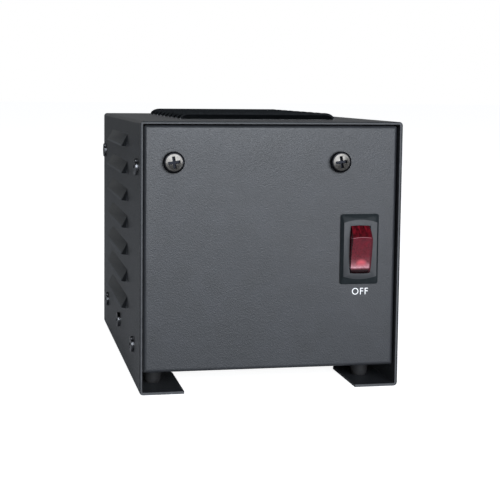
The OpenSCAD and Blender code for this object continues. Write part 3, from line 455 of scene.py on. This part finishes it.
# Shares of that height over which the painted shade of the lower end stops, and the painted glow and the
# upper end's streaks start
UNDER_SHARES, GLOW_SHARES, STREAK_SHARES = (0.055, 0.11), (0.12, 0.24), (0.8, 0.85)
# Shares of their half widths from which the painted glow, the ridge's painted highlight and the lit part of
# the face fade
GLOW_CORE_SHARE, RIDGE_CORE_SHARE, FACE_CORE_SHARE = 0.35, 0.96, 0.84


def rocker_lens():
    # Red polycarbonate, clear in the real switch and drawn here in its colour alone, with its light painted
    # on:
    # painted shade at both ends and down its sides, a pale painted reflection near its foot, a painted glow
    # where the lamp shows through, a painted highlight along the ridge, and, in its upper end, streaks from
    # the ribs
    f = Finish("see_through_red_polycarbonate")
    low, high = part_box("switch_housing")
    middle = [(low[i] + high[i]) / 2 for i in range(3)]
    up = f.run(f.along("Z"), middle[2] - ROCKER_SHOWS, middle[2] + ROCKER_SHOWS)
    cloud = f.uneven(1.6, 0.0, 0.35, detail=3)
    specks = f.run(f.noise(0.9, 3), 0.5, 0.75, 0.0, 0.55)
    ribs = f.between(f.noise(1.2, 1, stretch=(1, 0.2, 0.25)), -0.9, 0.7)
    streaks = f.calc("MULTIPLY", ribs, f.run(up, *STREAK_SHARES), use_clamp=True)
    painted_lamp_glow = f.away((middle[0], 0, middle[2] - GLOW_DROP), GLOW_HALF, GLOW_CORE_SHARE)
    glow = f.calc("MULTIPLY", painted_lamp_glow, f.run(up, *GLOW_SHARES))
    minus_centre = (-middle[0], 0, ARCH_R - RIDGE_UP - middle[2])
    arch = f.add("ShaderNodeMapping", {"Vector": f.place, "Location": minus_centre, "Scale": (1, 0, 1)})
    on_face = f.away((middle[0], 0, 0), (ROCKER_FACE_HALF, 0, 0), RIDGE_CORE_SHARE)
    ridge_highlight = f.calc("MULTIPLY", f.calc("COMPARE", f.length(arch), ARCH_R, RIDGE_HALF), on_face)
    # Painted shade over the rocker's lower end
    under = f.run(up, *UNDER_SHARES, 1.0, 0.0)
    shade = f.ramp(up, LENS_SHADE_AND_SHEEN)
    for amount, tone in (
        (cloud, "#7c1523"),
        (specks, "#2e0d13"),
        (streaks, "#7a1421"),
        (glow, "#c4565f"),
        (ridge_highlight, "#8d5a60"),
        (under, "#1f0a0e"),
    ):
        shade = f.over(amount, shade, colour(tone))
    # The rocker's sides, outside the lit part of its face, are darker with painted shade
    face = f.away((middle[0] - FACE_LEFT, 0, 0), (ROCKER_FACE_HALF, 0, 0), FACE_CORE_SHARE)
    return f.done(
        Base_Color=f.over(face, colour("#471820"), shade),
        Roughness=0.18,
        IOR=1.58,
        Specular_IOR_Level=0.3,
        Normal=f.grain(3, 0.008, detail=1),
    )


def lamp_glass():
    # Neon lamp: clear glass over a pale electrode
    f = Finish("neon_lamp_glass")
    return f.done(
        Base_Color=f.mottle(1.5, "#f0c9b4", "#ffe9dc", detail=2),
        Roughness=0.1,
        IOR=1.5,
        Transmission_Weight=0.3,
        Coat_Weight=0.5,
    )


def bright_brass():
    # Stamped brass: bright, with lines along the strip
    f = Finish("stamped_brass")
    return f.done(
        Base_Color=f.mottle(2, "#b8964a", "#d9bb6c", detail=4),
        Metallic=1.0,
        Roughness=f.between(f.noise(0.8, 3, stretch=(1, 0.1, 1)), 0.2, 0.36),
    )


def phenolic():
    # Moulded phenolic: black and slightly mottled
    f = Finish("black_moulded_phenolic")
    return f.done(
        Base_Color=f.mottle(2.5, "#1a1918", "#272524", detail=4),
        Roughness=f.uneven(1.2, 0.34, 0.46),
        Normal=f.grain(0.9, 0.008),
    )


def nickel():
    # Nickel plate over brass: bright and faintly warm
    f = Finish("nickel_plate")
    return f.done(
        Base_Color=f.mottle(2, "#b9b4aa", "#d0ccc2"),
        Metallic=1.0,
        Roughness=f.uneven(0.9, 0.14, 0.26, detail=3),
    )


def button_plastic():
    # Moulded acetal: off-white, waxy
    f = Finish("off_white_acetal")
    return f.done(
        Base_Color=f.mottle(2, "#d9d8d0", "#e6e5de"),
        Roughness=f.uneven(1.2, 0.32, 0.42),
        Subsurface_Weight=0.15,
        Subsurface_Radius=(1.0 * MM, 0.8 * MM, 0.6 * MM),
    )


def socket_nylon():
    # Moulded nylon face from a lightly textured tool
    f = Finish("black_socket_nylon")
    return f.done(
        Base_Color=f.mottle(6, "#1f1f21", "#29292b"),
        Roughness=f.uneven(1, 0.3, 0.4),
        Normal=f.grain(0.5, 0.01),
    )


def socket_thermoset():
    # Pressed thermoset body: dull, with a coarse mottle
    f = Finish("grey_pressed_thermoset")
    return f.done(
        Base_Color=f.mottle(3, "#353537", "#47474a", detail=5),
        Roughness=f.uneven(1.5, 0.5, 0.65, detail=3),
        Normal=f.grain(0.8, 0.02, detail=3),
    )


def gland_nylon():
    # Black nylon, moulded matt for grip
    f = Finish("black_matt_nylon")
    return f.done(
        Base_Color=f.mottle(3, "#1c1c1e", "#272729"),
        Roughness=f.uneven(0.9, 0.42, 0.54),
        Normal=f.grain(0.5, 0.012),
    )


def board_laminate():
    # Glass-epoxy board under green solder mask: glossy, with the weave just showing
    f = Finish("green_solder_mask")
    weave = f.add("ShaderNodeTexChecker", {"Vector": f.place, "Scale": per_mm(1.0)}).outputs["Fac"]
    return f.done(
        Base_Color=f.mottle(3, "#1d5a34", "#27703f"),
        Roughness=0.26,
        Normal=f.bump(weave, 0.01),
        Coat_Weight=0.5,
    )


def natural_nylon():
    # Natural nylon: milky and a little see-through
    f = Finish("natural_nylon")
    return f.done(
        Base_Color=f.mottle(2, "#dedccf", "#ebe9de", detail=2),
        Roughness=0.36,
        Subsurface_Weight=0.3,
        Subsurface_Radius=(1.5 * MM, 1.2 * MM, 1.0 * MM),
    )


def blue_epoxy():
    # Dipped epoxy: glossy, with an uneven skin
    f = Finish("blue_dipped_epoxy")
    return f.done(
        Base_Color=f.mottle(3, "#214f9c", "#2f63b4"),
        Roughness=0.22,
        Normal=f.grain(2.5, 0.08),
    )


def capacitor_case():
    # Moulded polyester box: yellow, half gloss
    f = Finish("yellow_polyester_case")
    return f.done(
        Base_Color=f.mottle(4, "#c99a2a", "#dcae3c"),
        Roughness=f.uneven(1.5, 0.3, 0.42),
        Normal=f.grain(0.6, 0.008),
    )


def terminal_plastic():
    # Green moulded nylon
    f = Finish("green_moulded_nylon")
    return f.done(
        Base_Color=f.mottle(3, "#2e6a3c", "#3a7c48"),
        Roughness=f.uneven(1.2, 0.38, 0.5),
        Normal=f.grain(0.6, 0.008),
    )


FINISHES = {
    "case_paint": powder_coat(),
    "bumper_rubber": moulded_rubber(),
    "black_nickel": black_nickel(),
    "lamination_steel": laminations(),
    "zinc_steel": zinc(),
    "bracket_steel": bracket_steel(),
    "bobbin_nylon": bobbin_nylon(),
    "enamelled_copper": copper_wire(),
    "copper_foil": copper_foil(),
    "coil_paper": coil_paper(),
    "switch_black": switch_nylon(),
    "rocker_red": rocker_lens(),
    "lamp_glass": lamp_glass(),
    "contact_brass": bright_brass(),
    "breaker_phenolic": phenolic(),
    "nickel_nut": nickel(),
    "button_white": button_plastic(),
    "socket_face": socket_nylon(),
    "socket_body": socket_thermoset(),
    "gland_nylon": gland_nylon(),
    "board_laminate": board_laminate(),
    "standoff_nylon": natural_nylon(),
    "absorber_epoxy": blue_epoxy(),
    "capacitor_case": capacitor_case(),
    "terminal_plastic": terminal_plastic(),
}

for name, piece in NODES.items():
    piece.data.materials.clear()
    piece.data.materials.append(FINISHES[SLOTS[name]])


# How far the edges of each piece are rounded, in mm, as a press, a mould or a coat of paint leaves them
ROUNDING = {
    "wrap_cover": 0.2,
    "chassis_tray": 0.3,
    "switch_housing": 0.1,
    "switch_rocker": 0.3,
    "front_screws": 0.12,
    "side_screws": 0.12,
}
# Corners nearer than this are one, faces that turn by less are one, and an edge that turns by more is rounded
WELD, FLAT_ANGLE, SHARP_ANGLE = 0.002 * MM, math.radians(1), math.radians(30)
ROUNDING_STEPS = 2


def soften(node, cut=False):
    """Replaces a node with a copy whose edges are rounded.
    Cut turns its flats into triangles first, for walls with too many corners to be filled whole."""
    mesh = NODES[node].data.copy()
    made = bpy.data.objects.new(node + "_soft", mesh)
    bpy.context.scene.collection.objects.link(made)
    form = bmesh.new()
    form.from_mesh(mesh)
    bmesh.ops.remove_doubles(form, verts=form.verts, dist=WELD)
    bmesh.ops.dissolve_limit(form, angle_limit=FLAT_ANGLE, verts=form.verts, edges=form.edges)
    if cut:
        bmesh.ops.triangulate(form, faces=[face for face in form.faces if len(face.verts) > 4])
    form.to_mesh(mesh)
    form.free()
    if "custom_normal" in mesh.attributes:
        mesh.attributes.remove(mesh.attributes["custom_normal"])
    mesh.shade_smooth()
    mesh.set_sharp_from_angle(angle=SHARP_ANGLE)
    bevel = made.modifiers.new("rounding", "BEVEL")
    bevel.width = ROUNDING[node] * MM
    bevel.segments = ROUNDING_STEPS
    bevel.limit_method = "ANGLE"
    bevel.angle_limit = SHARP_ANGLE
    bevel.harden_normals = True
    bevel.miter_outer = "MITER_ARC"
    done = bpy.data.meshes.new_from_object(made.evaluated_get(bpy.context.evaluated_depsgraph_get()))
    made.modifiers.clear()
    made.data = done
    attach(made, BODY_OF[node])
    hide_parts(node)
    return made


def label_ink():
    # Screen-printed ink: flat and nearly white
    f = Finish("white_screen_ink")
    return f.done(Base_Color=f.mottle(0.6, "#f0f0f0", "#fcfcfc"), Roughness=0.5)


# The word below the switch: its size, how far it lies below the switch's middle and to the right, and the
# thickness of its ink
LABEL_WIDTH, LABEL_HEIGHT = 7.7 * MM, 3.1 * MM
LABEL_DROP, LABEL_RIGHT = 19.8 * MM, 0.9 * MM
LABEL_THICK = 0.03 * MM
# The letters before they are scaled, in shares of their height: their depth, how much thinner than the font's
# they are, and how far apart
LETTER_DEPTH_SHARE, LETTER_OFFSET_SHARE, LETTER_SPACING_SHARE = 0.01, -0.002, 1.12


def off_label():
    """The word OFF as a thin mesh on the front panel."""
    text = bpy.data.curves.new("off_label", "FONT")
    text.body = "OFF"
    text.extrude = LETTER_DEPTH_SHARE
    text.offset = LETTER_OFFSET_SHARE
    text.space_character = LETTER_SPACING_SHARE
    maker = bpy.data.objects.new("off_label_text", text)
    bpy.context.scene.collection.objects.link(maker)
    mesh = bpy.data.meshes.new_from_object(maker.evaluated_get(bpy.context.evaluated_depsgraph_get()))
    bpy.data.objects.remove(maker)
    low = Vector(min(v.co[i] for v in mesh.vertices) for i in range(3))
    high = Vector(max(v.co[i] for v in mesh.vertices) for i in range(3))
    size = high - low
    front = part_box("chassis_tray")[0][1]
    bezel_low, bezel_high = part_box("switch_housing")
    middle_x = (bezel_low[0] + bezel_high[0]) / 2 + LABEL_RIGHT
    middle_z = (bezel_low[2] + bezel_high[2]) / 2 - LABEL_DROP
    for v in mesh.vertices:
        share = [(v.co[i] - low[i]) / size[i] - 0.5 for i in range(3)]
        v.co = (
            middle_x + share[0] * LABEL_WIDTH,
            front - share[2] * LABEL_THICK,
            middle_z + share[1] * LABEL_HEIGHT,
        )
    made = bpy.data.objects.new("off_label", mesh)
    bpy.context.scene.collection.objects.link(made)
    mesh.materials.clear()
    mesh.materials.append(label_ink())
    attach(made, "case")
    return made


def islands(mesh):
    """The faces of each separate solid in a mesh."""
    form = bmesh.new()
    form.from_mesh(mesh)
    form.faces.ensure_lookup_table()
    left = set(range(len(form.faces)))
    found = []
    while left:
        queue, group = [left.pop()], []
        while queue:
            face = form.faces[queue.pop()]
            group.append(face.index)
            near = {other.index for vert in face.verts for other in vert.link_faces} & left
            left -= near
            queue += near
        found.append(group)
    form.free()
    return found


# A screw head's crown and cross in shares of its radius, and the depth from which a face is in the cross
CROWN_SHARE, CROSS_SHARE, CROSS_DEEP = 0.8, 0.62, 0.3 * MM
# Two sizes of a head that differ by less are equal
EQUAL_WITHIN = 0.1 * MM
# The numbers of a head's finishes after its crown's
CROSS, RIM = 1, 2


def mark_heads(screws, crown, cross, rim):
    """Gives each screw head its own finish on its crown, in its cross and at its rim."""
    mesh = screws.data
    mesh.materials[0] = crown
    for finish in (cross, rim):
        mesh.materials.append(finish)
    for group in islands(mesh):
        points = [mesh.vertices[i].co for face in group for i in mesh.polygons[face].vertices]
        low = [min(p[i] for p in points) for i in range(3)]
        high = [max(p[i] for p in points) for i in range(3)]
        middle = [(a + b) / 2 for a, b in zip(low, high)]
        head_r = (high[2] - low[2]) / 2
        axis = 1 if abs(high[0] - low[0] - 2 * head_r) < EQUAL_WITHIN else 0
        across = 0 if axis else 1
        outermost = low[axis] if middle[axis] < 0 else high[axis]
        for face in (mesh.polygons[i] for i in group):
            reach = math.hypot(face.center[across] - middle[across], face.center[2] - middle[2])
            if abs(face.center[axis] - outermost) > CROSS_DEEP and reach < CROSS_SHARE * head_r:
                face.material_index = CROSS
            elif reach > CROWN_SHARE * head_r:
                face.material_index = RIM


# Foot tabs: a height above them, the part of their length that stays, a length beyond them and what they gain
TAB_TOP, TAB_STRAIGHT, TAB_LONGEST, TAB_GROWTH = 3.0 * MM, 20 * MM, 40 * MM, 7 * MM


def lengthen_tabs(cover):
    """Moves the inner ends of the foot tabs along the depth, to where the photograph shows them."""
    low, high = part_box("wrap_cover")
    for v in cover.data.vertices:
        for end, inward in ((low[1], 1), (high[1], -1)):
            past = (v.co.y - end) * inward
            if v.co.z < TAB_TOP and TAB_STRAIGHT < past < TAB_LONGEST:
                v.co.y += inward * TAB_GROWTH


# An edge of the cover faces straight forwards or back, and lies no deeper than this
EDGE_FACING, EDGE_DEEP = 0.8, 0.1 * MM
# How far outside the chassis a louvre's face lies, and how much it faces its open side or its end
LIP_CLEAR, LIP_TURN, END_TURN = 2.0 * MM, 0.35, 0.7
# The numbers of the cover's finishes after its powder coat
TOP_LIP, EDGE, SIDE_LIP = 1, 2, 3


def finish_edges(cover):
    """Gives the cover's front and back edges a painted highlight, and its louvres' lips and ends painted
    shade.
    """
    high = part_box("chassis_tray")[1]
    top, side = high[2] + LIP_CLEAR, high[0] + LIP_CLEAR
    front, back = (corner[1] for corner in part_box("wrap_cover"))
    # The side louvres' ends get a slightly lighter painted shade
    side_end_shade = louvre_painted_shade("side_louvre_end_painted_shade", "#1d1f21", "#242628")
    for finish in (louvre_painted_shade(), edge_painted_highlight(), side_end_shade):
        cover.data.materials.append(finish)
    for face in cover.data.polygons:
        depth = min(face.center.y - front, back - face.center.y)
        to_front = face.normal.y < -LIP_TURN
        if abs(face.normal.y) > EDGE_FACING and depth < EDGE_DEEP:
            face.material_index = EDGE
        elif face.center.z > top and (to_front or abs(face.normal.x) > END_TURN):
            face.material_index = TOP_LIP
        elif abs(face.center.x) > side and (to_front or face.normal.z < -LIP_TURN):
            face.material_index = SIDE_LIP


# A slope faces the front less than the flat of the frame, and more than its rim
FLAT_FRONT, SLOPE_FRONT = -0.96, -0.2
# The number of the frame's finish after its first
POLISHED = 1


def polish_slopes(housing):
    """Gives the sloping sides of the switch's frame the polished finish."""
    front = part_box("chassis_tray")[0][1]
    housing.data.materials.append(polished_nylon())
    for face in housing.data.polygons:
        if face.center.y < front and FLAT_FRONT < face.normal.y < SLOPE_FRONT:
            face.material_index = POLISHED


off_label()
cover = soften("wrap_cover", cut=True)
lengthen_tabs(cover)
finish_edges(cover)
soften("chassis_tray")
polish_slopes(soften("switch_housing"))
soften("switch_rocker")
# Painted shade in the screws' crosses and at the front screws' rims
shadowed = nickel_painted_shade()
mark_heads(soften("front_screws"), crowns_with_shaded_rims(), shadowed, shadowed)
# The side screws: painted shade darkens their cross, and a painted reflection lightens their rim
mark_heads(
    soften("side_screws"),
    black_nickel("nickel_side_crown", "#3e3f41", "#4b4c4f"),
    black_nickel("nickel_side_cross_painted_shade", "#27282a", "#313234"),
    black_nickel("nickel_side_rim_painted_sheen", "#5c5d5f", "#6e6f72"),
)


# Half the floor's width, in metres, and how strongly it glows towards the camera
FLOOR_HALF, FLOOR_GLOW = 12.0, 0.9
# The patch of floor seen past the left bumper, which doesn't glow: its middle, its half sizes and its core
GAP_MIDDLE, GAP_HALF, GAP_CORE_SHARE = (-54.5 * MM, -42 * MM, 0), (6 * MM, 16 * MM, 0), 0.6


def floor():
    """A white floor that shows nothing but the shadow."""
    mesh = bpy.data.meshes.new("floor")
    corners = [(x * FLOOR_HALF, y * FLOOR_HALF, 0) for x, y in ((-1, -1), (1, -1), (1, 1), (-1, 1))]
    mesh.from_pydata(corners, [], [(0, 1, 2, 3)])
    made = bpy.data.objects.new("floor", mesh)
    bpy.context.scene.collection.objects.link(made)
    f = Finish("white_paper_floor")
    paper = f.add("ShaderNodeBsdfDiffuse", {"Color": colour("#e2e2e2")})
    glow = f.run(f.away(GAP_MIDDLE, GAP_HALF, GAP_CORE_SHARE), 0.0, 1.0, FLOOR_GLOW, 0.0)
    lift = f.add("ShaderNodeEmission", {"Color": colour("#ffffff"), "Strength": glow})
    lifted = f.add("ShaderNodeAddShader", {"Shader": paper, "Shader_001": lift})
    seen = f.add("ShaderNodeLightPath").outputs["Is Camera Ray"]
    either = f.add("ShaderNodeMixShader", {"Fac": seen, "Shader": paper, "Shader_001": lifted})
    f.add("ShaderNodeOutputMaterial", {"Surface": either})
    mesh.materials.append(f.material)


# What the world shows to the camera, and what it gives the gloss low down, the gloss overhead and the matt
SEEN_WHITE, GLOSS_LOW, GLOSS_HIGH, SEEN_BY_MATT = "#ffffff", "#858788", "#2a2c2e", "#5e6166"
# The room starts and stops darkening at these heights, 0 being the horizon and 1 overhead
DARKENS_FROM, DARKENS_TO = 0.15, 0.7


def world():
    """A white ground for the camera, and for everything else a dim room that darkens overhead."""
    made = bpy.data.worlds.new("studio")
    bpy.context.scene.world = made
    made.use_nodes = True
    tree = made.node_tree
    tree.nodes.clear()
    rays = add(tree, "ShaderNodeLightPath")
    toward = add(tree, "ShaderNodeTexCoord").outputs["Generated"]
    height = add(tree, "ShaderNodeSeparateXYZ", {"Vector": toward}).outputs["Z"]
    darkens = {"Value": height, "From Min": DARKENS_FROM, "From Max": DARKENS_TO}
    overhead = add(tree, "ShaderNodeMapRange", darkens)

    def mix(amount, first, second):
        inputs = {"Factor_Float": amount, "A_Color": first, "B_Color": second}
        return add(tree, "ShaderNodeMix", inputs, data_type="RGBA")

    gloss = mix(overhead, colour(GLOSS_LOW), colour(GLOSS_HIGH))
    room = mix(rays.outputs["Is Glossy Ray"], colour(SEEN_BY_MATT), gloss)
    tone = mix(rays.outputs["Is Camera Ray"], room, colour(SEEN_WHITE))
    sky = add(tree, "ShaderNodeBackground", {"Color": tone, "Strength": 1.0})
    add(tree, "ShaderNodeOutputWorld", {"Surface": sky})


# The lamps' tint and the point that they are turned to, and each one's name, place, size and power in watts
LAMP_TINT, LIT_POINT = "#f3f8ff", (0, 0, 0.06)
LAMPS = (
    ("front", (0.24, -2.2, 0.58), (1.9, 1.25), 66.5),
    ("overhead", (-0.05, 0.1, 1.3), (0.5, 0.5), 2.6),
)


def lamp(name, place, size, power):
    """A soft light turned to the object."""
    light = bpy.data.lights.new(name, "AREA")
    light.shape = "RECTANGLE"
    light.size, light.size_y = size
    light.energy = power
    light.color = colour(LAMP_TINT)[:3]
    made = bpy.data.objects.new(name, light)
    made.location = place
    made.rotation_euler = (Vector(LIT_POINT) - Vector(place)).to_track_quat("-Z", "Y").to_euler()
    bpy.context.scene.collection.objects.link(made)


def camera():
    """The camera that the photograph was taken with, as fitted."""
    sin, cos = math.sin, math.cos
    ahead = Vector(
        (sin(CAMERA_YAW) * cos(CAMERA_PITCH), cos(CAMERA_YAW) * cos(CAMERA_PITCH), sin(CAMERA_PITCH))
    )
    level = Vector((cos(CAMERA_YAW), -sin(CAMERA_YAW), 0))
    upright = level.cross(ahead)
    right = cos(CAMERA_ROLL) * level + sin(CAMERA_ROLL) * upright
    up = cos(CAMERA_ROLL) * upright - sin(CAMERA_ROLL) * level
    data = bpy.data.cameras.new("camera")
    data.sensor_width = SENSOR
    data.lens = FOCAL_PX * SENSOR / FRAME_PX
    data.shift_x = 0.5 - CENTRE_PX[0] / FRAME_PX
    data.shift_y = CENTRE_PX[1] / FRAME_PX - 0.5
    made = bpy.data.objects.new("camera", data)
    turn = Matrix((right, up, -ahead)).transposed().to_4x4()
    made.matrix_world = Matrix.Translation(CAMERA_PLACE) @ turn
    bpy.context.scene.collection.objects.link(made)
    bpy.context.scene.camera = made


floor()
world()
for row in LAMPS:
    lamp(*row)
camera()
bpy.context.scene.view_settings.view_transform = VIEW_TRANSFORM
